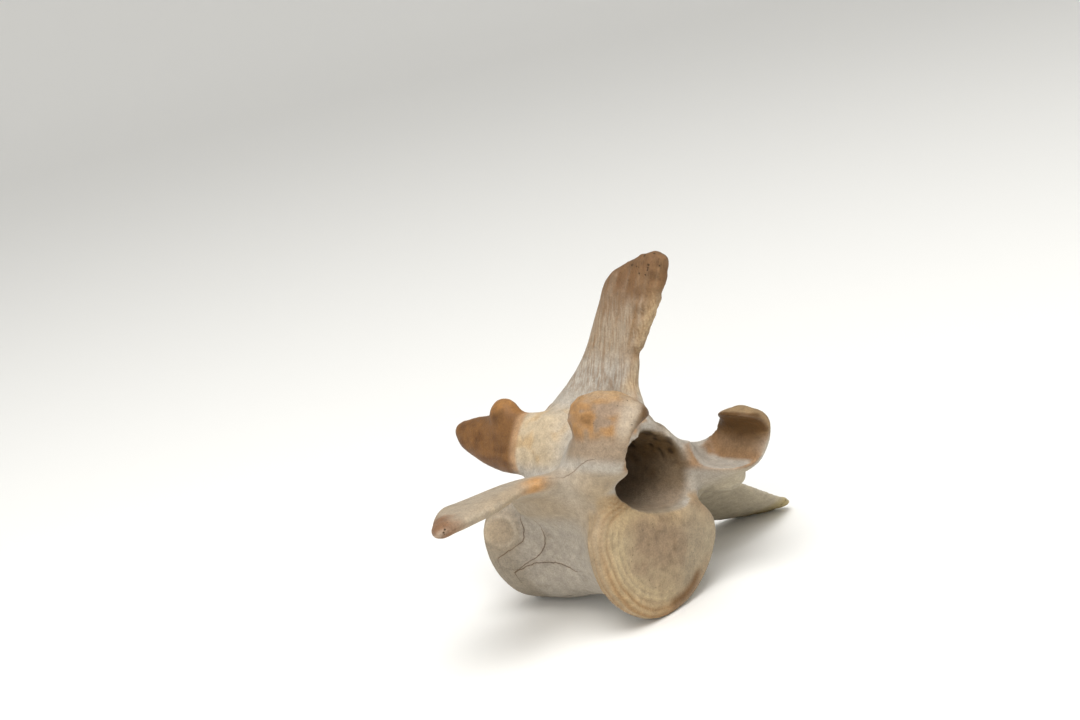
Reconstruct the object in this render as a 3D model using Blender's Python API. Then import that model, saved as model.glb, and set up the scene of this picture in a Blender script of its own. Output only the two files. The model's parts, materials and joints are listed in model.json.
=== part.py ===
"""Lumbar vertebra of an elk, life size, lying at rest on its body and one transverse process.

The bone is modelled upright in its own anatomical frame (+X towards the head, +Y towards the
animal's left, +Z towards the back, in millimetres), parted into its named anatomical pieces by
thin cuts, and then turned into the pose in which it rests on a flat surface.
"""

import math

import bmesh
import bpy
import numpy as np
from mathutils import Matrix, Vector

MM = 0.001
GAP = 0.3  # clear width of the thin cuts that part the bone

# Body (centrum), measured between its two end faces.
BODY_HALF_LENGTH = 29.0
CRANIAL_HALF_WIDTH = 26.2
CAUDAL_HALF_WIDTH = 23.5
WAIST_HALF_WIDTH = 15.5
CRANIAL_BOTTOM = -21.0
CAUDAL_BOTTOM = -19.8
WAIST_BOTTOM = -15.4

# Vertebral canal.
CANAL_HALF_WIDTH = 11.8
CANAL_MOUTH_HALF_WIDTH = 16.5
CANAL_FLOOR = 13.2
CANAL_ROOF = 34.0

# Neural arch.
ARCH_CRANIAL = 25.0
ARCH_CAUDAL = -19.0

# The pose at rest: rolled over onto the left transverse process, then turned so that the cranial
# end faces -Y, and lifted until the floor just flattens the three places that bear.
ROLL_TO_LEFT = 19.83
NOSE_DOWN = -1.41
SHIFT = (-7.22, -5.58, 19.60)
REST_TURN = (
    Matrix.Rotation(math.radians(-90), 4, "Z")
    @ Matrix.Rotation(math.radians(NOSE_DOWN), 4, "Y")
    @ Matrix.Rotation(math.radians(-ROLL_TO_LEFT), 4, "X")
)
REST_SHIFT = Matrix.Translation(Vector(SHIFT) * MM)

# The named pieces: the box of the anatomical frame that each one takes, in this order.
FAR = 200.0
REGIONS = (
    ("transverse_process_left", (-FAR, 27.0, -FAR), (FAR, FAR, 25.0), (0.58, 0.52, 0.42)),
    ("transverse_process_right", (-FAR, -FAR, -FAR), (FAR, -27.0, 25.0), (0.60, 0.52, 0.40)),
    ("spinous_process", (-FAR, -14.0, 48.0), (FAR, 14.0, FAR), (0.50, 0.40, 0.28)),
    ("cranial_articular_process_left", (20.0, 9.0, 24.0), (FAR, FAR, FAR), (0.58, 0.46, 0.30)),
    ("cranial_articular_process_right", (20.0, -FAR, 24.0), (FAR, -9.0, FAR), (0.60, 0.48, 0.32)),
    ("caudal_articular_process_left", (-FAR, 0.0, 17.6), (-21.0, FAR, FAR), (0.46, 0.33, 0.19)),
    ("caudal_articular_process_right", (-FAR, -FAR, 17.6), (-21.0, 0.0 - GAP, FAR), (0.46, 0.33, 0.19)),
    ("cranial_endplate", (25.0, -FAR, -FAR), (FAR, FAR, 18.2), (0.56, 0.46, 0.30)),
    ("caudal_endplate", (-FAR, -FAR, -FAR), (-24.6, FAR, 17.2), (0.56, 0.50, 0.40)),
    ("neural_arch", (-FAR, -FAR, 14.6), (FAR, FAR, FAR), (0.62, 0.56, 0.46)),
)

# Surface quality.
VOXEL = 1.2
TARGET_TRIANGLES = 10500
RING_POINTS = 40


def smooth_curve(t, knots):
    """Value at t of a smooth curve through (position, value) knots, flat beyond the first and last."""
    places = np.array([k[0] for k in knots], float)
    values = np.array([k[1] for k in knots], float)
    slopes = np.gradient(values, places)
    t = np.clip(t, places[0], places[-1])
    i = np.clip(np.searchsorted(places, t) - 1, 0, len(places) - 2)
    width = places[i + 1] - places[i]
    s = (t - places[i]) / width
    return (
        (2 * s**3 - 3 * s**2 + 1) * values[i]
        + (s**3 - 2 * s**2 + s) * width * slopes[i]
        + (3 * s**2 - 2 * s**3) * values[i + 1]
        + (s**3 - s**2) * width * slopes[i + 1]
    )


def power(value, exponent):
    """The signed power that turns a circle's sine and cosine into a squarer superellipse's."""
    return np.sign(value) * np.abs(value) ** exponent


def mesh_object(name, bm):
    """A new object from a bmesh, which is freed."""
    bmesh.ops.recalc_face_normals(bm, faces=bm.faces)
    mesh = bpy.data.meshes.new(name)
    bm.to_mesh(mesh)
    bm.free()
    obj = bpy.data.objects.new(name, mesh)
    bpy.context.scene.collection.objects.link(obj)
    return obj


def loft(name, rings):
    """A closed skin through rings of equally many points, in millimetres, with a fan over each end."""
    bm = bmesh.new()
    loops = [[bm.verts.new(Vector(p) * MM) for p in ring] for ring in rings]
    count = len(loops[0])
    for low, high in zip(loops, loops[1:]):
        for i in range(count):
            j = (i + 1) % count
            bm.faces.new((low[i], low[j], high[j], high[i]))
    for loop in (loops[0], loops[-1]):
        middle = sum((v.co for v in loop), Vector()) / count
        pole = bm.verts.new(middle)
        for i in range(count):
            bm.faces.new((loop[i], loop[(i + 1) % count], pole))
    return mesh_object(name, bm)


def rounded_ends(t, share):
    """How far a limb's section has opened at t from 0 to 1, rounding off the last share of its length."""
    s = np.clip((t - (1 - share)) / share, 0, 1)
    return math.sqrt(max(1 - s * s, 0.003))


def limb(name, knots, sections=22, end_share=0.12, exponent=2.3):
    """A process whose oval section runs through knots.

    Each knot is (t, edge A, edge B, half thickness, thickness direction): the section's long axis
    runs from edge A to edge B. The far end is rounded.
    """
    times = [k[0] for k in knots]

    def at(t, pick):
        return np.array(
            [smooth_curve(t, [(u, pick(k)[a]) for u, k in zip(times, knots)]) for a in range(3)]
        )

    rings = []
    angle = np.linspace(0, 2 * np.pi, RING_POINTS, endpoint=False)
    for t in np.linspace(0, 1, sections) ** 0.9:
        a, b = at(t, lambda k: k[1]), at(t, lambda k: k[2])
        thick = smooth_curve(t, [(u, k[3]) for u, k in zip(times, knots)])
        across = at(t, lambda k: k[4])
        across /= np.linalg.norm(across)
        opened = rounded_ends(t, end_share)
        middle, reach = (a + b) / 2, (a - b) / 2 * opened
        ring = (
            middle
            + power(np.cos(angle), 2 / exponent)[:, None] * reach
            + power(np.sin(angle), 2 / exponent)[:, None] * across * thick * opened
        )
        rings.append(ring)
    return loft(name, rings)


def ellipsoid(name, centre, radii, turn=(0, 0, 0)):
    """A ball stretched to radii, turned in degrees and put at centre."""
    bm = bmesh.new()
    bmesh.ops.create_uvsphere(bm, u_segments=32, v_segments=20, radius=1)
    obj = mesh_object(name, bm)
    obj.scale = [r * MM for r in radii]
    obj.rotation_euler = [math.radians(a) for a in turn]
    obj.location = Vector(centre) * MM
    return obj


def cylinder(name, centre, radii, length, turn=(0, 0, 0)):
    """An oval cylinder whose axis lies along Z before it is turned in degrees."""
    bm = bmesh.new()
    bmesh.ops.create_cone(bm, cap_ends=True, segments=40, radius1=1, radius2=1, depth=1)
    obj = mesh_object(name, bm)
    obj.scale = (radii[0] * MM, radii[1] * MM, length * MM)
    obj.rotation_euler = [math.radians(a) for a in turn]
    obj.location = Vector(centre) * MM
    return obj


def body():
    """The drum-shaped body: waisted, keeled below, with a rim round each end face."""
    angle = np.linspace(0, 2 * np.pi, 48, endpoint=False)
    c, s = np.cos(angle), np.sin(angle)
    domes = [0.02, 0.3, 0.6, 0.84, 0.955, 0.992]
    edges = [3.3, 3.1, 2.5, 1.8, 1.2, 0.4]
    caudal, cranial = -BODY_HALF_LENGTH, BODY_HALF_LENGTH
    stations = [(caudal - rise + 1.7, size) for size, rise in zip(domes, edges)]
    stations += [(x, 1.0) for x in np.linspace(caudal + 2.2, cranial - 2.2, 23)]
    stations += [(cranial + rise - 1.7, size) for size, rise in zip(domes[::-1], edges[::-1])]
    rings = []
    for x, size in stations:
        width = smooth_curve(x, [
            (-29, CAUDAL_HALF_WIDTH), (-25, CAUDAL_HALF_WIDTH), (-15, 19.0), (-2, WAIST_HALF_WIDTH),
            (12, 17.4), (20, 22.4), (24.5, CRANIAL_HALF_WIDTH - 0.4), (29, CRANIAL_HALF_WIDTH)])
        bottom = smooth_curve(x, [
            (-29, CAUDAL_BOTTOM), (-22, CAUDAL_BOTTOM + 0.4), (-8, -17.8), (5, WAIST_BOTTOM),
            (13, -15.8), (22, CRANIAL_BOTTOM + 1.2), (26, CRANIAL_BOTTOM), (29, CRANIAL_BOTTOM)])
        widest = smooth_curve(x, [(-29, 3.0), (0, 3.0), (29, 5.0)])
        top = smooth_curve(x, [(-29, 14.5), (-10, 15.5), (10, 16.0), (29, 17.5)])
        exponent = smooth_curve(x, [(-29, 1.75), (0, 1.9), (29, 1.8)])
        low = widest - (widest - bottom) * np.abs(s) ** (2 / exponent)
        high = widest + (top - widest) * np.abs(s) ** 0.8
        z = np.where(s < 0, low, high)
        y = width * np.where(s < 0, power(c, 2 / exponent), power(c, 0.75))
        rings.append(np.stack([np.full_like(y, x), y * size, z * size], axis=1))
    return loft("body", rings)


def arch():
    """The solid block that becomes pedicles and laminae once the canal is cut through it."""
    rings = []
    for x in np.linspace(ARCH_CAUDAL, ARCH_CRANIAL, 18):
        top = smooth_curve(x, [(-19, 40.0), (-8, 43.0), (6, 43), (16, 41), (25, 38.8)])
        wide = smooth_curve(x, [(-19, 14.0), (-8, 15.5), (6, 17.5), (18, 21.0), (25, 20.0)])
        eaves = smooth_curve(x, [(-19, 31), (0, 31), (12, 28), (25, 24.5)])
        half = [(wide * 0.97, 6), (wide, 14), (wide * 1.0, 20), (wide * 0.99, eaves - 2),
                (wide * 0.93, eaves + 1.5), (wide * 0.68, eaves + (top - eaves) * 0.62),
                (wide * 0.38, eaves + (top - eaves) * 0.9), (wide * 0.12, top)]
        ring = [(x, y, z) for y, z in half] + [(x, -y, z) for y, z in reversed(half)]
        rings.append(np.array(ring))
    return loft("arch", rings)


def spine():
    """The spinous process: a tall flat plate that leans towards the head."""
    side = (0, 1, 0)
    return limb("spine", [
        (0.00, (25.0, 0, 34.0), (-27.0, 0, 36.0), 9.0, side),
        (0.12, (19.5, 0, 44.0), (-19.5, 0, 44.5), 6.2, side),
        (0.23, (16.8, 0, 51.0), (-13.0, 0, 51.0), 4.4, side),
        (0.37, (18.0, 0, 59.5), (-7.6, 0, 59.0), 3.5, side),
        (0.52, (21.6, 0, 67.5), (-4.2, 0, 67.0), 3.2, side),
        (0.70, (26.0, 0, 77.5), (-0.4, 0, 76.5), 3.3, side),
        (0.86, (28.8, 0, 86.5), (1.6, 0, 82.0), 3.8, side),
        (1.00, (29.0, 0, 95.2), (4.5, 0, 86.6), 4.4, side)],
        sections=34, end_share=0.09, exponent=2.6)


def transverse(name, knots):
    """A transverse process: a flat blade that leaves the body at the canal floor's level."""
    up = (0.25, 0, 1)
    return limb(name, [(t, a, b, half, up) for t, a, b, half in knots],
                sections=30, end_share=0.07, exponent=2.5)


def transverse_pair():
    """The two transverse processes: the left one broader and lower, the right one rising."""
    left = transverse("tp_l", [
        (0.00, (22, 12, 18), (-18, 12, 12), 7.5),
        (0.20, (20.5, 27, 21.5), (-13, 25, 12.5), 3.8),
        (0.45, (19.5, 43, 20.0), (-10, 41, 7.4), 2.6),
        (0.70, (18.5, 60, 16.0), (-9, 59, 4.8), 2.2),
        (1.00, (9, 87, 11.0), (-7, 77, 6.5), 2.0)])
    right = transverse("tp_r", [
        (0.00, (22, -12, 18), (-18, -12, 13), 7.5),
        (0.20, (20.5, -27, 22.0), (-13, -24, 15.5), 4.2),
        (0.45, (19.0, -43, 21.0), (-10, -37, 15.0), 3.3),
        (0.70, (18.0, -58, 14.2), (-9, -48, 12.8), 3.3),
        (1.00, (12.0, -78.0, 5.4), (-9, -58, 10.8), 3.3)])
    return [left, right]


def cranial_process(name, side):
    """A cranial articular process before its facet is hollowed."""
    out = (0, 1, 0)
    low = 2.0 if side > 0 else 0.0
    return limb(name, [
        (0.00, (6, side * 15, 34), (6, side * 15, 18), 6.0, out),
        (0.30, (18, side * 22, 34), (17, side * 21, 19), 8.0, out),
        (0.50, (25, side * 25, 41 - low), (24, side * 22.5, 20), 9.0, out),
        (0.68, (32, side * 25.5, 46.5 - low), (30, side * 24.5, 21.5), 9.0, out),
        (0.86, (41, side * 25, 47.2 - low), (36, side * 25.5, 23.5), 8.0, out),
        (1.00, (49, side * 26, 45 - low), (43, side * 27.5, 27.0), 6.5, out)],
        sections=30, end_share=0.08, exponent=2.5)


def mammillary(name, side):
    """The blunt knob on the outer upper edge of a cranial articular process."""
    if side < 0:
        return ellipsoid(name, (31, -27.0, 42.0), (14.5, 7.6, 7.8), (0, -4, 0))
    return ellipsoid(name, (34, 28.0, 38), (11, 6.2, 6.4), (0, -4, 0))


def buttress(name, side):
    """The web of bone between a cranial articular process and the transverse process below it."""
    if side < 0:
        return ellipsoid(name, (24, -26.0, 23.0), (9, 6.0, 6.5))
    return ellipsoid(name, (25, 30.5, 23.5), (8, 8.5, 6.0))


def facet_hollow(name, side):
    """The cutter for the gutter-like facet: open towards the head and the midline, closed at the back."""
    out = (0, 1, 0)
    return limb(name, [
        (0.00, (66, side * 16.0, 42), (66, side * 17.0, 26), 13.5, out),
        (0.55, (42, side * 16.5, 42), (40, side * 17.0, 26), 12.8, out),
        (0.80, (31, side * 18.5, 41.6), (31, side * 19.0, 26.2), 10.5, out),
        (0.91, (26.0, side * 22.0, 41.5), (26.0, side * 23.0, 27.5), 7.0, out),
        (1.00, (21.0, side * 24.5, 42), (21.0, side * 25.5, 31.0), 3.6, out)],
        sections=34, end_share=0.05, exponent=2.6)


def caudal_process(name, side):
    """A caudal articular process: a stout convex peg that fits the next bone's gutter."""
    out = (0, 1, side * 0.2)
    return limb(name, [
        (0.00, (-4, side * 9.0, 42), (-4, side * 13.0, 22), 6.0, out),
        (0.35, (-20, side * 9.5, 41), (-21, side * 13.5, 20.5), 5.0, out),
        (0.70, (-37, side * 9.5, 39.8), (-37, side * 12.5, 22.0), 4.6, out),
        (1.00, (-58.5, side * 10.5, 36.0), (-55, side * 12.0, 28.5), 3.4, out)],
        end_share=0.10, exponent=2.3)


def caudal_lip(name, side):
    """The small upper knob where the caudal facet curls outwards."""
    return ellipsoid(name, (-30.6, side * 12.4, 38.6), (6.4, 4.6, 6.6))


def canal():
    """The cutter for the vertebral canal, which widens towards both mouths."""
    angle = np.linspace(0, 2 * np.pi, 40, endpoint=False)
    c, s = np.cos(angle), np.sin(angle)
    rings = []
    for x in np.linspace(-70, 60, 40):
        width = smooth_curve(x, [
            (-70, 8.5), (-30, 10.0), (-18, 11.5), (0, CANAL_HALF_WIDTH), (15, 13.0),
            (27, CANAL_MOUTH_HALF_WIDTH), (60, 22)])
        floor = smooth_curve(x, [
            (-70, 12.5), (-25, 12.5), (0, CANAL_FLOOR), (20, 13.0), (29, 12.3), (60, 12)])
        roof = smooth_curve(x, [
            (-70, 32), (-20, 33), (0, CANAL_ROOF), (20, 36), (27, 36.8), (60, 38)])
        middle = smooth_curve(x, [(-70, 22), (0, 22.5), (27, 21.5), (60, 21)])
        y = width * np.where(s > 0, power(c, 1.15), power(c, 0.8))
        above = middle + (roof - middle) * np.abs(s)
        below = middle - (middle - floor) * np.abs(s) ** 0.85
        z = np.where(s > 0, above, below)
        rings.append(np.stack([np.full_like(y, x), y, z], axis=1))
    return loft("canal", rings)


def gather(name, objects):
    """A collection that holds operands of a Boolean, left out of the render."""
    group = bpy.data.collections.new(name)
    bpy.context.scene.collection.children.link(group)
    for obj in objects:
        bpy.context.scene.collection.objects.unlink(obj)
        group.objects.link(obj)
        obj.hide_render = True
        obj.display_type = "WIRE"
    return group


def boolean(obj, operation, group):
    """A Boolean modifier on obj whose operands are the objects of a collection."""
    modifier = obj.modifiers.new(operation.lower(), "BOOLEAN")
    modifier.operation = operation
    modifier.operand_type = "COLLECTION"
    modifier.collection = group
    modifier.solver = "EXACT"


def fuse(obj, voxel, smoothing):
    """Wraps the joined shapes in one even skin and rounds the creases where they meet."""
    remesh = obj.modifiers.new("remesh", "REMESH")
    remesh.mode = "VOXEL"
    remesh.voxel_size = voxel * MM
    smooth = obj.modifiers.new("smooth", "SMOOTH")
    smooth.factor = 0.5
    smooth.iterations = smoothing


def applied(obj, name):
    """A plain mesh object with everything that obj's modifiers do."""
    bpy.context.view_layer.update()
    graph = bpy.context.evaluated_depsgraph_get()
    mesh = bpy.data.meshes.new_from_object(obj.evaluated_get(graph))
    mesh.name = name
    made = bpy.data.objects.new(name, mesh)
    made.matrix_world = obj.matrix_world
    bpy.context.scene.collection.objects.link(made)
    return made


def whole_bone():
    """The whole bone as one mesh: its limbs joined and fused, then its canal and hollows cut."""
    core = body()
    notches = gather("notches", [
        cylinder("caudal_notch", (-29, 0, 23.5), (13.5, 8.0), 120, (90, 0, 0)),
        cylinder("cranial_notch", (37, 0, 24), (10, 8.0), 120, (90, 0, 0))])
    boolean(core, "UNION", gather("arch_block", [arch()]))
    boolean(core, "DIFFERENCE", notches)
    limbs = [spine()] + transverse_pair()
    limbs.append(ellipsoid("cap", (-24.5, -19.5, 2.0), (4.5, 4.6, 5.4)))
    for label, side in (("l", 1), ("r", -1)):
        limbs += [cranial_process("pre_" + label, side), mammillary("mam_" + label, side),
                  buttress("web_" + label, side),
                  caudal_process("post_" + label, side), caudal_lip("lip_" + label, side)]
    boolean(core, "UNION", gather("limbs", limbs))
    fuse(core, VOXEL, 11)
    boolean(core, "DIFFERENCE", gather("hollows", [
        canal(), facet_hollow("facet_l", 1), facet_hollow("facet_r", -1),
        ellipsoid("saddle_l", (20, 22.0, 42.5), (8, 9.0, 10.5)),
        cylinder("front_gap", (33, 0, 40), (11, 9), 24),
        cylinder("rear_gap", (-32, 0, 40), (11, 5), 24)]))
    fuse(core, VOXEL * 0.8, 4)
    return applied(core, "bone")


def box(name, low, high, grow=0.0):
    """A box between two corners in millimetres, grown outwards by a clear width."""
    low = np.array(low, float) - grow
    high = np.array(high, float) + grow
    bm = bmesh.new()
    bmesh.ops.create_cube(bm, size=1)
    obj = mesh_object(name, bm)
    obj.scale = (high - low) * MM
    obj.location = Vector((high + low) / 2) * MM
    return obj


def cut(obj, name, operation, cutter):
    """A new plain object: obj joined with, less, or shared with the cutter. The old pair is removed."""
    modifier = obj.modifiers.new(operation.lower(), "BOOLEAN")
    modifier.operation = operation
    modifier.object = cutter
    modifier.solver = "EXACT"
    made = applied(obj, name)
    bpy.data.objects.remove(cutter)
    return made


def keep_largest(obj):
    """Removes every closed surface of obj but its largest, and welds points that coincide."""
    bm = bmesh.new()
    bm.from_mesh(obj.data)
    bmesh.ops.remove_doubles(bm, verts=bm.verts, dist=1e-7)
    bmesh.ops.triangulate(bm, faces=bm.faces)
    left = set(bm.faces)
    pieces = []
    while left:
        stack = [left.pop()]
        piece = list(stack)
        while stack:
            for edge in stack.pop().edges:
                for face in edge.link_faces:
                    if face in left:
                        left.remove(face)
                        piece.append(face)
                        stack.append(face)
        pieces.append(piece)
    pieces.sort(key=len)
    for piece in pieces[:-1]:
        bmesh.ops.delete(bm, geom=piece, context="FACES")
    bm.to_mesh(obj.data)
    bm.free()


def material(name, colour, roughness):
    """A plain dry-bone material of one colour."""
    made = bpy.data.materials.new(name)
    made.use_nodes = True
    shader = made.node_tree.nodes["Principled BSDF"]
    shader.inputs["Base Color"].default_value = (*colour, 1)
    shader.inputs["Roughness"].default_value = roughness
    return made


def main():
    """Models the bone, flattens where it bears, parts it, and lays it at rest."""
    for obj in list(bpy.data.objects):
        bpy.data.objects.remove(obj)
    bone = whole_bone()
    for obj in list(bpy.data.objects):
        if obj is not bone:
            bpy.data.objects.remove(obj)
    for group in list(bpy.data.collections):
        bpy.data.collections.remove(group)
    thin = bone.modifiers.new("decimate", "DECIMATE")
    thin.ratio = TARGET_TRIANGLES / sum(len(p.vertices) - 2 for p in bone.data.polygons)
    rest = REST_SHIFT @ REST_TURN
    floor = box("floor", (-200, -200, -60), (200, 200, 0))
    floor.matrix_world = rest.inverted() @ floor.matrix_basis
    work = cut(bone, "work", "DIFFERENCE", floor)
    bpy.data.objects.remove(bone)
    for name, low, high, colour in REGIONS:
        piece = cut(work, name, "INTERSECT", box("cell", low, high))
        keep_largest(piece)
        work.modifiers.clear()
        rest_of = cut(work, "work_next", "DIFFERENCE", box("cell", low, high, GAP))
        bpy.data.objects.remove(work)
        work = rest_of
        piece.data.materials.clear()
        piece.data.materials.append(material("bone_" + name, colour, 0.6))
    work.name = "centrum"
    work.data.name = "centrum"
    keep_largest(work)
    work.data.materials.clear()
    work.data.materials.append(material("bone_centrum", (0.62, 0.56, 0.46), 0.6))
    for obj in bpy.data.objects:
        obj.data.transform(rest)
        obj.data.shade_smooth()


main()
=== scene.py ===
# %% [markdown]
# # A lumbar vertebra of an elk
#
# A dry bone, life size, lying as it comes to rest: on the lower rims of its body and on the tip of
# one transverse process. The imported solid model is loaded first. It gives the frame, the size and
# the names of the bone's parts, and everything below is made in its coordinates, in metres.

# %% Load the solid model and keep its box
import json
import math

import bpy
import numpy as np
from mathutils import Matrix, Vector

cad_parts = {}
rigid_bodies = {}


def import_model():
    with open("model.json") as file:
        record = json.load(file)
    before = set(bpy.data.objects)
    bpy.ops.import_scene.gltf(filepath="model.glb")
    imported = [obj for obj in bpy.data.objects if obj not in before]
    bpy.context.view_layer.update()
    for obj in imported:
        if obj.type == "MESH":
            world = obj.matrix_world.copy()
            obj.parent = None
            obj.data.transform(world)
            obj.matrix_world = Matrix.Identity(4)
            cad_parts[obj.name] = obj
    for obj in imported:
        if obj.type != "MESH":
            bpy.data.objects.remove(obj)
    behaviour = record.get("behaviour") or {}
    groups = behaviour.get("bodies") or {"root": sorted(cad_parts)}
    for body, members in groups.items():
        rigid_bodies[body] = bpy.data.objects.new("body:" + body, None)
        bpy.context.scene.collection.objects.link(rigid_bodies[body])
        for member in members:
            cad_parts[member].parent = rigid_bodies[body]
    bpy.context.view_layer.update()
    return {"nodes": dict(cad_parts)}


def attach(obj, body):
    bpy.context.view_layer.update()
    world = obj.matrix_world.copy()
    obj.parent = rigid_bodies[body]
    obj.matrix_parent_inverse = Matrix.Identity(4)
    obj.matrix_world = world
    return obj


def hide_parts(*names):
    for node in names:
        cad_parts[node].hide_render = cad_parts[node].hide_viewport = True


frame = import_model()
print("solid parts:", len(frame["nodes"]))

# %% [markdown]
# ## Two frames
#
# Anatomists measure a vertebra upright: x towards the head, y towards the animal's left, z towards
# the back. Curves are far easier to write down in that frame, in millimetres, so the bone is shaped
# there. One matrix then lays it down: it rolls the bone onto its left transverse process, turns the
# head end to -Y, and lifts it until it just touches the floor.

# %% The matrix that lays the bone at rest
MM = 0.001
ROLL_TO_LEFT = 19.83
NOSE_DOWN = -1.41
LIFT_MM = (-7.22, -5.58, 19.60)
lay_down = (
    Matrix.Translation(Vector(LIFT_MM) * MM)
    @ Matrix.Rotation(math.radians(-90), 4, "Z")
    @ Matrix.Rotation(math.radians(NOSE_DOWN), 4, "Y")
    @ Matrix.Rotation(math.radians(-ROLL_TO_LEFT), 4, "X")
)
LAY = np.array(lay_down)


def in_world(points_mm):
    """Points of the anatomical frame in mm, in world metres: the matrix times each point."""
    return (points_mm * MM) @ LAY[:3, :3].T + LAY[:3, 3]


print("the animal's back points to", np.round(LAY[:3, 2], 2))

# %% [markdown]
# ## Curves through a few measured places
#
# A bone has no straight edge. Each width, height and edge below is a smooth curve through a handful
# of measured places, and the same curve function serves a single number and a whole row of numbers.


# %% One smooth curve for numbers and points
def smooth_curve(t, places, values):
    """A cubic between each pair of places, whose slope at each place is the mean slope around it."""
    places, values = np.asarray(places, float), np.asarray(values, float)
    slopes = np.gradient(values, places, axis=0)
    t = np.clip(t, places[0], places[-1])
    i = np.clip(np.searchsorted(places, t) - 1, 0, len(places) - 2)
    wide = places[i + 1] - places[i]
    s = (t - places[i]) / wide
    shape = s.shape + (1,) * (values.ndim - 1)
    s, wide = s.reshape(shape), wide.reshape(shape)
    return (
        (2 * s**3 - 3 * s**2 + 1) * values[i]
        + (s**3 - 2 * s**2 + s) * wide * slopes[i]
        + (3 * s**2 - 2 * s**3) * values[i + 1]
        + (s**3 - s**2) * wide * slopes[i + 1]
    )


def power(value, exponent):
    """The size of value raised to exponent, with value's sign: it squares up a circle."""
    return np.sign(value) * np.abs(value) ** exponent


# %% [markdown]
# ## A skin over a stack of rings
#
# Every form of the bone is a closed skin: rings of points one after another, joined by quads, with
# a fan of triangles over each end. The rings come as one array, so no loop runs over the points.


# %% Rings to a closed skin, and skins to an object
def skin(rings):
    """Points and triangles of a closed skin: ring i joins ring i+1, and each end fans to its mean."""
    rows, count = rings.shape[:2]
    points = np.vstack([rings.reshape(-1, 3), rings[0].mean(0), rings[-1].mean(0)])
    i, j = np.meshgrid(np.arange(rows - 1), np.arange(count), indexing="ij")
    a, b = (i * count + j).ravel(), (i * count + (j + 1) % count).ravel()
    c, d = b + count, a + count
    j = np.arange(count)
    k = (j + 1) % count
    top = (rows - 1) * count
    faces = np.vstack([
        np.stack([a, b, c], 1), np.stack([a, c, d], 1),
        np.stack([k, j, np.full(count, rows * count)], 1),
        np.stack([top + j, top + k, np.full(count, rows * count + 1)], 1)])
    volume = np.linalg.det(points[faces] - points.mean(0)).sum()
    return points, (faces if volume > 0 else faces[:, ::-1])


def solid(name, shape):
    """A Blender object from (points in mm, triangles), in the upright frame and scaled to metres."""
    points, faces = shape
    mesh = bpy.data.meshes.new(name)
    mesh.from_pydata((points * MM).tolist(), [], faces.tolist())
    made = bpy.data.objects.new(name, mesh)
    bpy.context.scene.collection.objects.link(made)
    return made


# %% [markdown]
# ## The body
#
# The body, or centrum, is a drum: narrow at its waist, with a blunt keel below and a thick rim round
# each end, where it met its neighbour through a disc. Width, underside and top are curves along its
# length, and the section between them is a superellipse, which can be rounder or squarer than an
# ellipse.


# %% The drum-shaped body
def body_rings():
    """Rings along x. Below the widest line z falls by |sin|^(2/e) of the depth, above it rises."""
    angle = np.linspace(0, 2 * np.pi, 96, endpoint=False)
    c, s = np.cos(angle)[None], np.sin(angle)[None]
    dome = np.array([0.02, 0.16, 0.3, 0.46, 0.6, 0.73, 0.84, 0.91, 0.955, 0.98, 0.992])
    rise = np.array([3.3, 3.25, 3.1, 2.85, 2.5, 2.15, 1.8, 1.5, 1.2, 0.8, 0.4])
    middle = np.linspace(-26.8, 26.8, 45)
    x = np.concatenate([-27.3 - rise, middle, 27.3 + rise[::-1]])
    size = np.concatenate([dome, np.ones(45), dome[::-1]])[:, None]
    wide = smooth_curve(x, [-29, -25, -15, -2, 12, 20, 24.5, 29],
                        [23.5, 23.5, 19.0, 15.5, 17.4, 22.4, 25.8, 26.2])[:, None]
    under = smooth_curve(x, [-29, -22, -8, 5, 13, 22, 26, 29],
                         [-19.8, -19.4, -17.8, -15.4, -15.8, -19.8, -21, -21])[:, None]
    widest = smooth_curve(x, [-29, 0, 29], [3.0, 3.0, 5.0])[:, None]
    top = smooth_curve(x, [-29, -10, 10, 29], [14.5, 15.5, 16.0, 17.5])[:, None]
    e = smooth_curve(x, [-29, 0, 29], [1.75, 1.9, 1.8])[:, None]
    low = widest - (widest - under) * np.abs(s) ** (2 / e)
    high = widest + (top - widest) * np.abs(s) ** 0.8
    z = np.where(s < 0, low, high) * size
    y = wide * np.where(s < 0, power(c, 2 / e), power(c, 0.75)) * size
    return np.stack([np.broadcast_to(x[:, None], y.shape), y, z], -1)


body = skin(body_rings())
print("body:", len(body[1]), "triangles")

# %% [markdown]
# ## The arch
#
# Over the body stands the neural arch, which roofs the canal for the spinal cord. It is modelled as
# a solid gabled block first. The canal and the notches where nerves leave are cut out of it later,
# which leaves walls (pedicles) and roof (laminae) of the right thickness.


# %% The block that becomes the arch
def arch_rings():
    """Rings along x of a gabled section: walls to the eaves, then two slopes to the ridge."""
    x = np.linspace(-19, 25, 34)
    top = smooth_curve(x, [-19, -8, 6, 16, 25], [40.0, 43.0, 43.0, 41.0, 38.8])
    wide = smooth_curve(x, [-19, -8, 6, 18, 25], [14.0, 15.5, 17.5, 21.0, 20.0])
    eaves = smooth_curve(x, [-19, 0, 12, 25], [31.0, 31.0, 28.0, 24.5])
    slope = top - eaves
    y = np.stack([wide * k for k in (0.97, 1, 1, 0.99, 0.93, 0.68, 0.38, 0.12)], 1)
    flat = np.full_like(x, 1.0)
    z = np.stack([6 * flat, 14 * flat, 20 * flat, eaves - 2, eaves + 1.5,
                  eaves + slope * 0.62, eaves + slope * 0.9, top], 1)
    ring_y = np.concatenate([y, -y[:, ::-1]], 1)
    ring_z = np.concatenate([z, z[:, ::-1]], 1)
    return np.stack([np.broadcast_to(x[:, None], ring_y.shape), ring_y, ring_z], -1)


arch = skin(arch_rings())
print("arch:", len(arch[1]), "triangles")

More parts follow.
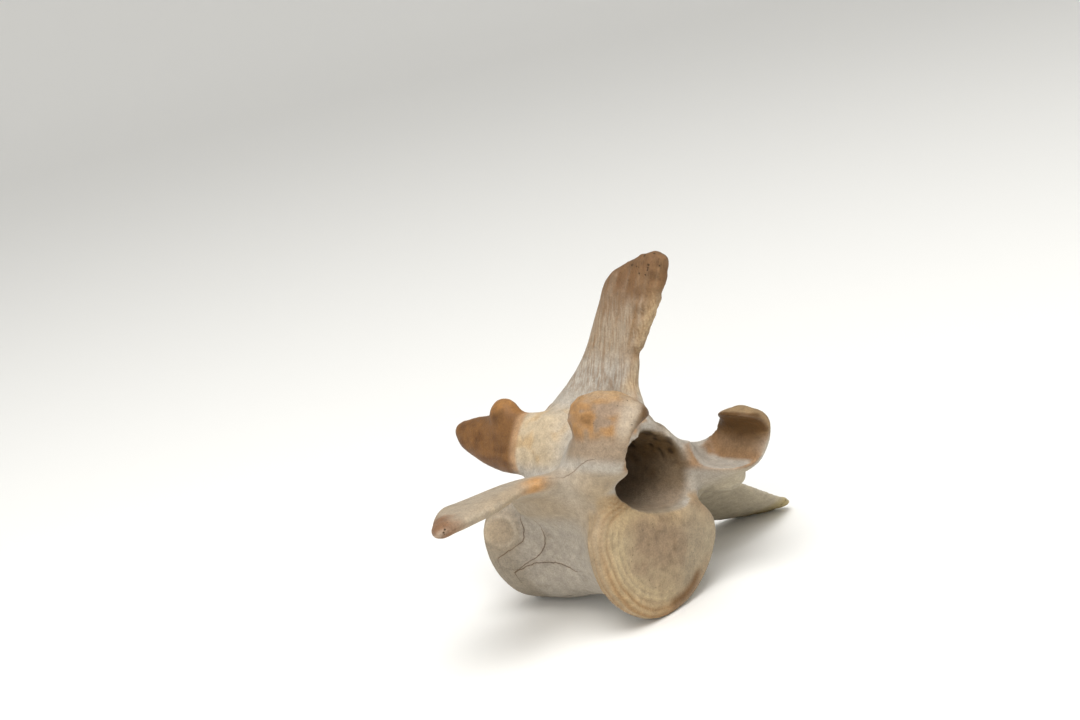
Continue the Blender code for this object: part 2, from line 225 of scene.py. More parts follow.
# %% [markdown]
# ## The processes
#
# A process is a lever of bone for muscles or a joint. All of them are made by one rule: a flat oval
# section travels from the root to the tip while its two edges follow measured points. A row below
# holds how far along it is (0 to 1), edge A, edge B and half the thickness, in mm.


# %% A section that travels between two edges
def process(rows, across, sections=48, end_share=0.12, exponent=2.3):
    """Rings whose long half-axis is half of A-B and whose short one is the thickness, times a quarter
    circle's height over the last end_share of the way, which rounds the tip."""
    rows = np.asarray(rows, float)
    t = np.linspace(0, 1, sections) ** 0.9
    at = smooth_curve(t, rows[:, 0], rows[:, 1:])
    a, b, thick = at[:, :3], at[:, 3:6], at[:, 6]
    s = np.clip((t - (1 - end_share)) / end_share, 0, 1)
    opened = np.sqrt(np.maximum(1 - s * s, 0.003))
    angle = np.linspace(0, 2 * np.pi, 64, endpoint=False)
    long = ((a - b) / 2 * opened[:, None])[:, None] * power(np.cos(angle), 2 / exponent)[:, None]
    side = np.array(across, float) / np.linalg.norm(across)
    short = (thick * opened)[:, None, None] * power(np.sin(angle), 2 / exponent)[:, None] * side
    return ((a + b) / 2)[:, None] + long + short


spine = skin(process([
    (0.00, 25.0, 0, 34.0, -27.0, 0, 36.0, 9.0),
    (0.12, 19.5, 0, 44.0, -19.5, 0, 44.5, 6.2),
    (0.23, 16.8, 0, 51.0, -13.0, 0, 51.0, 4.4),
    (0.37, 18.0, 0, 59.5, -7.6, 0, 59.0, 3.5),
    (0.52, 21.6, 0, 67.5, -4.2, 0, 67.0, 3.2),
    (0.70, 26.0, 0, 77.5, -0.4, 0, 76.5, 3.3),
    (0.86, 28.8, 0, 86.5, 1.6, 0, 82.0, 3.8),
    (1.00, 29.0, 0, 95.2, 4.5, 0, 86.6, 4.4)], (0, 1, 0), 64, 0.09, 2.6))

BLADE = (0.25, 0, 1)
transverse_left = skin(process([
    (0.00, 22.0, 12, 18.0, -18, 12, 12.0, 7.5),
    (0.20, 20.5, 27, 21.5, -13, 25, 12.5, 3.8),
    (0.45, 19.5, 43, 20.0, -10, 41, 7.4, 2.6),
    (0.70, 18.5, 60, 16.0, -9, 59, 4.8, 2.2),
    (1.00, 9.0, 87, 11.0, -7, 77, 6.5, 2.0)], BLADE, 60, 0.07, 2.5))
transverse_right = skin(process([
    (0.00, 22.0, -12, 18.0, -18, -12, 13.0, 7.5),
    (0.20, 20.5, -27, 22.0, -13, -24, 15.5, 4.2),
    (0.45, 19.0, -43, 21.0, -10, -37, 15.0, 3.3),
    (0.70, 18.0, -58, 14.2, -9, -48, 12.8, 3.3),
    (1.00, 12.0, -78, 5.4, -9, -58, 10.8, 3.3)], BLADE, 60, 0.07, 2.5))
print("spine and blades:", len(spine[1]) + len(transverse_left[1]) + len(transverse_right[1]))

# %% [markdown]
# ## The joint processes
#
# Four short processes lock this bone to its neighbours. The two at the head end are scoops, hollow
# on the inner side, with a blunt knob outside for muscle. The two at the tail end are stout pegs that
# fit the next bone's scoops. The scoops start as full lobes and are hollowed later with one cutter.


# %% Balls, lobes and pegs
def ball(centre, radii, tilt=0.0):
    """A sphere's grid of two angles, stretched to three radii and tilted by degrees about y."""
    u = np.linspace(0.001, np.pi - 0.001, 28)[:, None]
    v = np.linspace(0, 2 * np.pi, 40, endpoint=False)[None]
    x = radii[0] * np.sin(u) * np.cos(v)
    y = radii[1] * np.sin(u) * np.sin(v)
    z = radii[2] * np.cos(u) * np.ones_like(v)
    c, s = math.cos(math.radians(tilt)), math.sin(math.radians(tilt))
    return skin(np.stack([c * x + s * z, y, c * z - s * x], -1) + np.array(centre, float))


def lobe(side):
    """A cranial joint process on one side, before its facet is hollowed."""
    low = 2.0 if side > 0 else 0.0
    return skin(process([
        (0.00, 6, side * 15.0, 34.0, 6, side * 15.0, 18.0, 6.0),
        (0.30, 18, side * 22.0, 34.0, 17, side * 21.0, 19.0, 8.0),
        (0.50, 25, side * 25.0, 41.0 - low, 24, side * 22.5, 20.0, 9.0),
        (0.68, 32, side * 25.5, 46.5 - low, 30, side * 24.5, 21.5, 9.0),
        (0.86, 41, side * 25.0, 47.2 - low, 36, side * 25.5, 23.5, 8.0),
        (1.00, 49, side * 26.0, 45.0 - low, 43, side * 27.5, 27.0, 6.5)],
        (0, 1, 0), 48, 0.08, 2.5))


def peg(side):
    """A caudal joint process on one side: a stout tapering peg."""
    return skin(process([
        (0.00, -4.0, side * 9.0, 42.0, -4, side * 13.0, 22.0, 6.0),
        (0.35, -20.0, side * 9.5, 41.0, -21, side * 13.5, 20.5, 5.0),
        (0.70, -37.0, side * 9.5, 39.8, -37, side * 12.5, 22.0, 4.6),
        (1.00, -58.5, side * 10.5, 36.0, -55, side * 12.0, 28.5, 3.4)],
        (0, 1, side * 0.2), 40, 0.10, 2.3))


print("a peg has", len(peg(1)[1]), "triangles")

# %% [markdown]
# Two kinds of thick root carry these levers: a pillar of bone in the front wall of the arch, and a
# wedge under each transverse process. The knobs for muscle are plain stretched balls, because the
# remesh that follows will blend them in.


# %% Pillars, roots and knobs
def pillar(side):
    """The front wall of the arch on one side, where the cranial process runs down into the body."""
    return skin(process([
        (0.00, 36.0, side * 25.0, 35.0, 12, side * 20.0, 35.0, 7.5),
        (0.40, 31.5, side * 24.0, 24.0, 9, side * 20.0, 24.0, 6.5),
        (0.75, 27.5, side * 22.0, 14.0, 8, side * 17.5, 14.0, 5.0),
        (1.00, 25.5, side * 19.5, 5.0, 8, side * 14.0, 6.0, 4.0)],
        (0, 1, 0), 40, 0.10, 2.3))


def blade_root(side):
    """The thick root that carries a transverse process on the flank of the body."""
    return skin(process([
        (0.00, 22.5, side * 11.0, 9.0, -14, side * 9.0, 7.0, 6.5),
        (0.60, 21.5, side * 19.0, 13.0, -13, side * 17.0, 10.0, 5.5),
        (1.00, 20.5, side * 31.0, 19.0, -12, side * 27.0, 13.0, 3.6)],
        BLADE, 36, 0.12, 2.3))


scoop_knobs = [ball((34, 28.0, 38.0), (11.0, 6.2, 6.4), -4),
               ball((31, -27.0, 42.0), (14.5, 7.6, 7.8), -4)]
lobe_roots = [ball((25, 30.5, 23.5), (8, 8.5, 6.0)), ball((24, -26.0, 23.0), (9, 6.0, 6.5))]
peg_knobs = [ball((-30.6, 12.4, 38.6), (6.4, 4.6, 6.6)), ball((-30.6, -12.4, 38.6), (6.4, 4.6, 6.6))]
scar_boss = ball((-24.5, -19.5, 2.0), (4.5, 4.6, 5.4))
limbs = [pillar(-1), blade_root(1), blade_root(-1), spine, transverse_left, transverse_right,
         lobe(1), lobe(-1), peg(1), peg(-1), *scoop_knobs, *lobe_roots, *peg_knobs, scar_boss]
print("limbs and knobs:", len(limbs))

# %% [markdown]
# ## What is cut away
#
# The canal for the spinal cord runs from end to end and opens out at the head end. Two round notches
# in the walls let the nerves out, each scoop gets its hollow, and the roof is cut back at both ends.


# %% The canal
def canal_rings():
    """Rings along x: an arch above the middle line and a flatter floor below it."""
    x = np.linspace(-70, 60, 60)
    wide = smooth_curve(x, [-70, -30, -18, 0, 15, 27, 60], [8.5, 10, 11.5, 11.8, 13, 16.5, 22])
    floor = smooth_curve(x, [-70, -25, 0, 20, 29, 60], [12.5, 12.5, 13.2, 13.0, 12.3, 12.0])
    roof = smooth_curve(x, [-70, -20, 0, 20, 27, 60], [32, 33, 34, 36, 36.8, 38])
    middle = smooth_curve(x, [-70, 0, 27, 60], [22, 22.5, 21.5, 21])
    angle = np.linspace(0, 2 * np.pi, 64, endpoint=False)
    c, s = np.cos(angle)[None], np.sin(angle)[None]
    wide, floor, roof, middle = wide[:, None], floor[:, None], roof[:, None], middle[:, None]
    y = wide * np.where(s > 0, power(c, 1.15), power(c, 0.8))
    z = middle + np.where(s > 0, (roof - middle) * np.abs(s), (floor - middle) * np.abs(s) ** 0.85)
    return np.stack([np.broadcast_to(x[:, None], y.shape), y, z], -1)


canal_bore = skin(canal_rings())
print("canal:", len(canal_bore[1]), "triangles")


# %% Scoops, notches and the cut-back roof
def scoop(side):
    """The hollow of a cranial facet: open towards the head and the midline, closed behind."""
    return skin(process([
        (0.00, 66, side * 16.0, 42.0, 66, side * 17.0, 26.0, 13.5),
        (0.55, 42, side * 16.5, 42.0, 40, side * 17.0, 26.0, 12.8),
        (0.80, 31, side * 18.5, 41.6, 31, side * 19.0, 26.2, 10.5),
        (0.91, 26, side * 22.0, 41.5, 26, side * 23.0, 27.5, 7.0),
        (1.00, 21, side * 24.5, 42.0, 21, side * 25.5, 31.0, 3.6)],
        (0, 1, 0), 48, 0.05, 2.6))


def drill(centre, radii, length, axis):
    """An oval cylinder along one axis (1 is y, 2 is z), with radii in the other two."""
    angle = np.linspace(0, 2 * np.pi, 56, endpoint=False)
    ring = np.zeros((2, 56, 3))
    ring[:, :, 0] = radii[0] * np.cos(angle)
    ring[:, :, 3 - axis] = radii[1] * np.sin(angle)
    ring[:, :, axis] = np.array([-length / 2, length / 2])[:, None]
    return skin(ring + np.array(centre, float))


nerve_notches = [drill((-29, 0, 23.5), (13.5, 8.0), 120, 1), drill((37, 0, 24), (10, 8.0), 120, 1)]
behind_left_scoop = ball((20, 22.0, 42.5), (8, 9.0, 10.5))
beside_left_scoop = ball((30, 10.0, 38.0), (6.5, 4.5, 4.5))
roof_cuts = [drill((33, 0, 40), (11, 9), 24, 2), drill((-32, 0, 40), (11, 5), 24, 2)]
hollows = [canal_bore, scoop(1), scoop(-1), behind_left_scoop, beside_left_scoop, *roof_cuts]
print("cutters:", len(nerve_notches) + len(hollows))

# %% [markdown]
# ## One continuous skin
#
# A vertebra is one bone, so its forms have to flow into each other with no seam. Joining them by
# Boolean leaves hard creases. A voxel remesh then wraps the result in one even net, and a smoothing
# pass rounds the creases as growing bone does. The hollows are cut after that, and a second, finer
# wrap takes the sharpness off their rims.


# %% Helpers for Booleans and for the remesh
def held(name, shapes):
    """A collection of cutters or limbs for a Boolean, one object for each skin."""
    group = bpy.data.collections.new(name)
    bpy.context.scene.collection.children.link(group)
    for number, shape in enumerate(shapes):
        made = solid(f"{name}_{number}", shape)
        bpy.context.scene.collection.objects.unlink(made)
        group.objects.link(made)
        made.hide_render = True
    return group


def boolean(target, operation, group):
    """One exact Boolean of target with everything in a collection."""
    modifier = target.modifiers.new(operation.lower(), "BOOLEAN")
    modifier.operation = operation
    modifier.operand_type = "COLLECTION"
    modifier.collection = group
    modifier.solver = "EXACT"


def wrap(target, voxel_mm, passes):
    """A voxel net of one cell size, then passes that move each point half way to its neighbours."""
    remesh = target.modifiers.new("wrap", "REMESH")
    remesh.mode = "VOXEL"
    remesh.voxel_size = voxel_mm * MM
    smooth = target.modifiers.new("round", "SMOOTH")
    smooth.factor = 0.5
    smooth.iterations = passes


def settled(target, name):
    """A plain mesh of everything that target's modifiers do."""
    bpy.context.view_layer.update()
    graph = bpy.context.evaluated_depsgraph_get()
    mesh = bpy.data.meshes.new_from_object(target.evaluated_get(graph))
    mesh.name = name
    return mesh


FIRST_VOXEL, FIRST_PASSES = 1.0, 14
LAST_VOXEL, LAST_PASSES = 0.78, 9
print("voxels, mm:", FIRST_VOXEL, "then", LAST_VOXEL)

# %% Join, wrap, hollow and wrap again
core = solid("core", body)
groups = [held("arch_block", [arch]), held("nerve_notch", nerve_notches),
          held("limb", limbs), held("hollow", hollows)]
boolean(core, "UNION", groups[0])
boolean(core, "DIFFERENCE", groups[1])
boolean(core, "UNION", groups[2])
wrap(core, FIRST_VOXEL, FIRST_PASSES)
boolean(core, "DIFFERENCE", groups[3])
wrap(core, LAST_VOXEL, LAST_PASSES)
bone_mesh = settled(core, "bone_surface")
for group in groups:
    for helper in list(group.objects):
        bpy.data.objects.remove(helper)
    bpy.data.collections.remove(group)
bpy.data.objects.remove(core)
print("bone surface:", len(bone_mesh.vertices), "points,",
      sum(len(p.vertices) - 2 for p in bone_mesh.polygons), "triangles")

# %% [markdown]
# ## Reading the surface as arrays
#
# Relief and colour both depend on where a point is and which way it faces. Position, normal and
# neighbours are read once, as whole arrays, in the upright frame and in millimetres.


# %% Points, normals and neighbours
def read(items, key, width, kind=np.float64):
    """One property of every item as an array with width numbers a row."""
    out = np.empty(len(items) * width, np.float32 if kind is np.float64 else np.int32)
    items.foreach_get(key, out)
    return out.reshape(-1, width).astype(kind)


P = read(bone_mesh.vertices, "co", 3) / MM
EDGES = read(bone_mesh.edges, "vertices", 2, np.int64)
NEIGHBOURS = np.bincount(EDGES.ravel(), minlength=len(P)).astype(float)


def eased(values, passes):
    """Each point takes half of its own value and half of its neighbours' mean, passes times."""
    values = values.reshape(len(P), -1)
    for _ in range(passes):
        total = np.stack([
            np.bincount(EDGES[:, 0], v[EDGES[:, 1]], len(P))
            + np.bincount(EDGES[:, 1], v[EDGES[:, 0]], len(P)) for v in values.T], 1)
        values = 0.5 * values + 0.5 * total / NEIGHBOURS[:, None]
    return values


def normals(points):
    """The mesh's normals with its points moved to these places."""
    bone_mesh.vertices.foreach_set("co", (points * MM).astype(np.float32).ravel())
    bone_mesh.update()
    return read(bone_mesh.vertex_normals, "vector", 3)


N = normals(P)
print("points:", len(P), "edges:", len(EDGES))

# %% [markdown]
# ## Noise and ramps
#
# Nature's irregularity is imitated with smooth random heights, made the same way each time. A ramp
# turns a distance into a soft mask from 0 to 1, and masks are multiplied to pick out an area.


# %% Smooth random heights and soft masks
def noise(points, size, seed=0):
    """Random numbers from -1 to 1 at the corners of cells of a size in mm, blended across each cell
    with the curve 3f^2 - 2f^3. The size may differ along x, y and z."""
    q = points / np.asarray(size, float) + 13.7 * seed + 500.0
    cell = np.floor(q).astype(np.int64)
    f = q - cell
    f = f * f * (3 - 2 * f)
    total = np.zeros(len(points))
    for corner in range(8):
        step = np.array([corner & 1, corner >> 1 & 1, corner >> 2 & 1])
        c = cell + step
        h = c[:, 0] * 73856093 ^ c[:, 1] * 19349663 ^ c[:, 2] * 83492791 ^ (seed + 1) * 26544357
        h = (h ^ h >> 13) * 1274126177 & 0x7FFFFFFF
        h = (h ^ h >> 15) * 668265263 & 0x7FFFFFFF
        total += ((h >> 7) % 4096 / 2047.5 - 1) * np.prod(np.where(step, f, 1 - f), 1)
    return total


def ramp(value, low, high):
    """0 at low, 1 at high, and 3s^2 - 2s^3 of the way s between them. High may be the smaller."""
    s = np.clip((value - low) / (high - low), 0, 1)
    return s * s * (3 - 2 * s)


print("noise spread:", round(float(noise(P, 5).std()), 2))

# %% [markdown]
# ## Fillets where the forms meet
#
# On a real bone a process flares into the body in a wide, soft curve. A smoothing pass over the
# whole mesh would make such curves, but it would also thin the blades. So only hollow points move:
# each one rises along its normal until it is level with its neighbours, and every convex edge stays
# where it is. The canal and the scoops are held, because they are meant to be hollow.


# %% Raise the creases only
def held_hollows(points, facing):
    """1 on the canal's wall and in the scoops, 0 elsewhere."""
    x, y, z = points.T
    inward = -(facing[:, 1] * y + facing[:, 2] * (z - 23)) / np.hypot(y, z - 23).clip(1)
    in_canal = ramp(inward, -0.1, 0.4) * ramp(np.abs(y), 20, 16) * ramp(z, 40, 37) * ramp(z, 10, 12)
    in_scoop = ramp(x, 19, 22) * ramp(z, 23, 26) * ramp(np.abs(y), 30, 28) * ramp(np.abs(y), 8, 12)
    medial = ramp(-np.sign(y) * facing[:, 1], -0.5, 0.1)
    return np.maximum(in_canal, in_scoop * medial)


def hollowness(passes):
    """How deep a point lies below its eased surroundings, in mm: positive in a hollow."""
    return ((eased(P, passes) - P) * N).sum(1)


FILLET_ROUNDS = 9
for _ in range(FILLET_ROUNDS):
    free = 1 - held_hollows(P, N)
    for _ in range(8):
        rise = ((eased(P, 1) - P) * N).sum(1)
        P = P + N * (1.6 * free * np.clip(rise, 0, None))[:, None]
    sharp = ramp(-hollowness(3), 0.10, 0.30)
    P = P + (0.2 + 0.7 * sharp)[:, None] * (eased(P, 1) - P)
    N = normals(P)
print("deepest hollow after the fillets, mm:", round(float(hollowness(30).max()), 2))

# %% [markdown]
# Where two cutters meet they leave a thin rim or a spike. On an old bone such a rim is the first
# thing to wear, so the sharpest points and four named corners of the scoops are eased until round.

# %% Wear the thin rims
WORN_RIMS = [((36.5, -22.3, 25.2), 5.5), ((44.0, -21.0, 43.5), 5.0), ((25.0, 15.0, 34.8), 4.5),
             ((32.0, 21.0, 43.0), 6.0)]
WEAR_ROUNDS = 10
for _ in range(WEAR_ROUNDS):
    worn = ramp(-hollowness(4), 0.28, 0.55)
    for centre, radius in WORN_RIMS:
        worn = np.maximum(worn, np.exp(-((P - centre) ** 2).sum(1) / radius**2))
    P = P + worn[:, None] * (eased(P, 5) - P)
    N = normals(P)

x, y, z = P.T
nx, ny, nz = N.T
wander = 1.6 * noise(P, 6, 1) + 0.8 * noise(P, 2.6, 2)
near_hollow, wide_hollow = hollowness(6), hollowness(30)
print("deepest hollow, mm:", round(float(wide_hollow.max()), 2))

# %% [markdown]
# ## Areas of the bone
#
# Each mask below is a named place on a vertebra. They use the same measures as the forms did, so
# relief and colour fall where the anatomy puts them. The rim of an end face is given by four numbers
# in mm: half its width, its top, its underside and the height of its widest line.

# %% Masks for the end faces
HEAD_RIM = (26.2, 17.5, -21.0, 5.0)
TAIL_RIM = (23.5, 14.5, -19.8, 3.0)


def share_of_rim(y, z, wide, top, under, widest):
    """0 at the middle of an end face and 1 at its rim, by the superellipse that shapes the body."""
    below = np.clip(widest - z, 0, None) / (widest - under)
    above = np.clip(z - widest, 0, None) / (top - widest)
    low = (np.abs(y / wide) ** 1.8 + below ** 1.8) ** (1 / 1.8)
    high = (np.abs(y / wide) ** 2.66 + above ** 2.5) ** 0.38
    return np.where(z < widest, low, high)


head_share = share_of_rim(y, z, *HEAD_RIM)
tail_share = share_of_rim(y, z, *TAIL_RIM)
head_face = ramp(nx, 0.35, 0.75) * ramp(x, 24.5, 27) * ramp(z, 19, 17)
tail_face = ramp(-nx, 0.35, 0.75) * ramp(x, -24.5, -27) * ramp(z, 17.5, 15.5)
head_rim = ramp(x, 19.5, 23.5) * (1 - head_face) * ramp(z, 15, 11) * ramp(x, 34, 31)
tail_rim = ramp(x, -20.5, -24) * (1 - tail_face) * ramp(z, 14, 10)
print("share of the points: head face", round(float(head_face.mean()), 3))

# %% Masks for the canal and the processes
inward = -(ny * y + nz * (z - 23)) / np.hypot(y, z - 23).clip(1)
canal = ramp(inward, 0.0, 0.5) * ramp(np.abs(y), 19, 15) * ramp(z, 39, 36) * ramp(z, 10, 11.5)
canal = canal * ramp(x, 27, 22) * ramp(x, -30, -24)
blade_left = ramp(y, 18, 27) * ramp(z, 27, 24)
blade_right = ramp(-y, 18, 27) * ramp(z, 27, 24)
spine_area = ramp(z, 44, 52)
pegs = ramp(x, -20, -27) * ramp(z, 16.5, 18.5)
side_of_scoop = np.sign(y)
scoops = ramp(x, 19, 23) * ramp(z, 24, 27) * ramp(np.abs(y), 12, 16)
medial = ramp(-side_of_scoop * ny, -0.25, 0.3)
facet = scoops * medial * ramp(np.abs(y), 31, 28.5) * ramp(nz, 0.85, 0.6)
knob = ramp(x, 14, 20) * ramp(z, 33, 38) * ramp(side_of_scoop * ny + 0.6 * nz, 0.1, 0.5)
flank = ramp(np.abs(ny), 0.3, 0.6) * ramp(z, 17, 12) * ramp(np.abs(x), 27, 23) * ramp(np.abs(y), 27, 24)
print("share of the points: canal", round(float(canal.mean()), 3),
      "facets", round(float(facet.mean()), 3))

# %% [markdown]
# ## Relief
#
# Small heights are added along the normals: growth lines inside the rim of the end face, wrinkled
# lips where the disc was anchored, long fibres up the spine, rough tips, the coarse pores of the
# canal's roof, and a gentle unevenness everywhere. The net has points 0.78 mm apart, so the relief
# that it carries is 1.5 mm wide or more, and finer grain is left to the material's bump.

# %% Heights on the body and its end faces
height = 0.16 * noise(P, 9, 3) + 0.07 * noise(P, 3.4, 4)
from_rim = (1 - head_share) * 22
growth = np.sin(2 * np.pi * (from_rim + 0.35 * noise(P, 5, 5)) / 1.75)
grown = growth * head_face * ramp(from_rim, 1.0, 2.6)
height += 0.24 * grown * ramp(from_rim, 9.5, 6) * ramp(y, 10, -6)
height += 0.10 * grown * ramp(from_rim, 7, 4.5)
height += 0.35 * head_face * (ramp(from_rim, 4.5, 1.5) - 0.6 * ramp(head_share, 0.55, 0.0))
lips = np.sin(2 * np.pi * (x + 0.5 * noise(P, 6, 6)) / 2.3)
height += 0.36 * lips * head_rim * ramp(x, 21.0, 24.0) * (0.3 + 0.7 * ramp(-y, 4, 14))
along_flank = np.stack([x * 0.16, y, z], 1)
height += 0.07 * noise(along_flank, 1.9, 17) * flank
height += 0.12 * np.sin(2 * np.pi * (x + 0.6 * noise(P, 5, 7)) / 2.1) * tail_rim
height -= 0.8 * tail_face * ramp(tail_share, 0.8, 0.2)
from_tail_rim = (1 - tail_share) * 20
tail_growth = np.sin(2 * np.pi * (from_tail_rim + 0.5 * noise(P, 5, 28)) / 1.9)
height += 0.16 * tail_growth * tail_face * ramp(from_tail_rim, 1.0, 2.4) * ramp(from_tail_rim, 8, 5)
height += 0.20 * noise(P, 2.3, 29) * tail_face * ramp(tail_share, 0.7, 0.4)
height += 0.16 * noise(P, 2.3, 26) * head_face * ramp(head_share, 0.75, 0.45)
print("relief so far, mm: from", round(float(height.min()), 2), "to", round(float(height.max()), 2))

# %% Heights on the processes and in the canal
up_spine = np.stack([x - 0.32 * (z - 50), y, z * 0.12], 1)
height += 0.17 * noise(up_spine, 1.7, 8) * spine_area * ramp(np.abs(ny), 0.4, 0.8)
tip = ramp(z + wander, 80, 92)
height += 0.30 * noise(P, 2.2, 9) * tip
along_blade = np.stack([x, y * 0.14, z], 1)
blades = np.maximum(blade_left, blade_right)
height += 0.07 * noise(along_blade, 1.8, 10) * blades
blade_tip = np.maximum(ramp(-y + wander, 66, 74), ramp(y + wander, 70, 79))
height += 0.26 * noise(P, 2.1, 11) * blade_tip
ridges = P * [0.3, 1, 1]
height += (0.40 * noise(ridges, 1.7, 12) + 0.25 * noise(P, 2.6, 27)) * knob * ramp(x, 44, 40)
height += 0.16 * noise(P * [0.4, 1, 1], 2.2, 13) * pegs
pores = ramp(noise(P, 1.9, 14), 0.05, 0.55)
roof = canal * ramp(z + 3 * noise(P, 5, 15), 22, 29)
height -= 0.38 * pores * roof * ramp(x, 22, 17)
height += 0.10 * noise(P, 2.4, 16) * canal
print("relief, mm: from", round(float(height.min()), 2), "to", round(float(height.max()), 2))

# %% [markdown]
# Two more kinds of relief have a definite place: the holes where vessels entered the bone, and the
# round scar on the flank near the tail end.


# %% Vessel holes, the scar and the chipped edge
def dent(centre, radius):
    """A bell curve of the distance to a point: 1 at the point, 0.37 at the radius."""
    return np.exp(-(((P - np.array(centre, float)) ** 2).sum(1)) / radius**2)


VESSEL_HOLES = [((8.3, -20.6, 14.3), 0.9), ((-4.0, -15.5, 9.0), 0.7), ((2.0, 15.8, 8.0), 0.9),
                ((-1.0, 0.0, 13.2), 1.4), ((5.0, 3.0, -15.0), 0.9), ((-7.0, -3.0, -17.5), 0.8)]
hole_depth = np.zeros(len(P))
for centre, radius in VESSEL_HOLES:
    hole_depth = np.maximum(hole_depth, dent(centre, radius))
height -= 0.9 * hole_depth

SCAR = np.array([-20.6, -22.5, 3.0])
from_scar = np.hypot((x - SCAR[0]) * 0.93, z - SCAR[2])
scar_side = ramp(-y, 12, 16) * ramp(x, -13, -16)
height += scar_side * (0.8 * np.exp(-((from_scar - 4.6) / 0.9) ** 2) - 0.5 * ramp(from_scar, 3.8, 1.5))
chip = np.exp(-(((x - 17.5) / 1.6) ** 2 + ((z - 60.0) / 2.0) ** 2))
height -= 1.1 * chip
P = P + N * height[:, None]
bone_points = in_world(P)
bone_points[:, 2] = np.maximum(bone_points[:, 2], 0.0)
print("lowest point, mm:", round(float(bone_points[:, 2].min() * 1000), 3))

# %% [markdown]
# ## Cracks as signed distances
#
# Drying bone checks in hair-fine cracks, far thinner than the net. So each crack is kept as a
# number on the points: how far the point lies to one side of the crack's line. The number changes
# evenly across the surface, and the material draws a thin dark line where it passes through zero.


# %% How far each point lies from the cracks
def crack(u, v, line, area):
    """Signed distance, in mm, from the curve v = f(u) through a few places, plus how far u runs
    beyond its ends, and a long way off outside an area."""
    places, values = np.array(line, float).T
    offset = v - smooth_curve(u, places, values)
    beyond = np.clip(places[0] - u, 0, None) + np.clip(u - places[-1], 0, None)
    return np.where(offset < 0, -1, 1) * (np.abs(offset) + 0.8 * beyond + 9 * (1 - area))


right_flank = ramp(-y, 8, 11) * ramp(z, 13, 10)
cracks_1 = np.stack([
    crack(z, x, [(-6.0, -23.5), (-3.0, -18.6), (0.9, -13.6), (4.0, -13.2), (7.4, -14.4)], right_flank),
    crack(z, x, [(-10.3, -19.6), (-7.0, -14.5), (-4.6, -10.2), (-0.1, -5.9), (4.6, -5.4)], right_flank),
    crack(x, z, [(-17.3, -9.1), (-11, -6.4), (-5.3, -5.6), (0, -5.9), (4.6, -7.2)], right_flank)], 1)
cracks_2 = np.stack([
    2.0 * crack(x, z, [(19.5, 23.0), (22, 24.4), (26, 26.8), (30, 28.6), (33, 29.6)],
                ramp(-y, 24, 27) * ramp(z, 34, 32)),
    crack(y, x, [(33, 9.0), (44, 6.0), (56, 8.5), (66, 5.0)], ramp(nz, 0.2, 0.5) * ramp(y, 28, 31)),
    crack(x, z, [(-15, -6.0), (-7, -3.4), (1, -4.6), (8, -3.0)], ramp(y, 8, 11) * ramp(z, 13, 10))], 1)
print("points within half a millimetre of a crack:", int((np.abs(cracks_1).min(1) < 0.5).sum()))

# %% [markdown]
# ## Colour
#
# Clean cortical bone is a pale grey ivory. Fat and soil leave it tan on the knobs and end faces, and
# brown where cartilage or ligament once held. The colours are laid over each other on the points,
# area by area, with edges that wander as stains do. They are written as sRGB hex and turned to
# linear light.


# %% Ivory, and a function that lays stains over it
def linear(hex_code):
    """sRGB to linear light: ((c + 0.055) / 1.055)^2.4, or c / 12.92 near black."""
    c = np.array([int(hex_code[i:i + 2], 16) for i in (1, 3, 5)]) / 255
    return np.where(c <= 0.04045, c / 12.92, ((c + 0.055) / 1.055) ** 2.4)


def layered(under, *layers):
    """Each (hex colour, mask) laid over what is below: below times 1 - mask, plus colour times mask."""
    for hex_code, mask in layers:
        amount = np.clip(mask, 0, 1)[:, None]
        under = under * (1 - amount) + linear(hex_code) * amount
    return under


blotch = noise(P, 4.5, 20) + 0.5 * noise(P, 2.0, 21)
cloud = noise(P, 12, 22)
fleck = noise(P, 1.9, 25) + 0.6 * blotch
rear_arch = ramp(z, 22, 27) * ramp(z, 45, 39) * ramp(x, 6, -8) * ramp(x, -24, -19)
colour = layered(
    np.tile(linear("#AEA598"), (len(P), 1)),
    ("#A99F91", flank * (0.6 + 0.35 * cloud)),
    ("#8E8270", 0.8 * ramp(x + wander, -11, -19) * ramp(z, 17, 12)),
    ("#8F8371", 0.35 * ramp(fleck, 0.3, 1.0) * ramp(z, 17, 12)),
    ("#BFAB8C", 0.85 * rear_arch),
    ("#BC9E74", 0.75 * rear_arch * ramp(blotch, -0.1, 0.8)),
    ("#7C6B56", 0.85 * ramp(x, 2, 10) * ramp(z, 35, 39) * ramp(z, 55, 47) * ramp(np.abs(y), 1, 6)))
print("mean colour of the shaft:", np.round(colour.mean(0), 2))
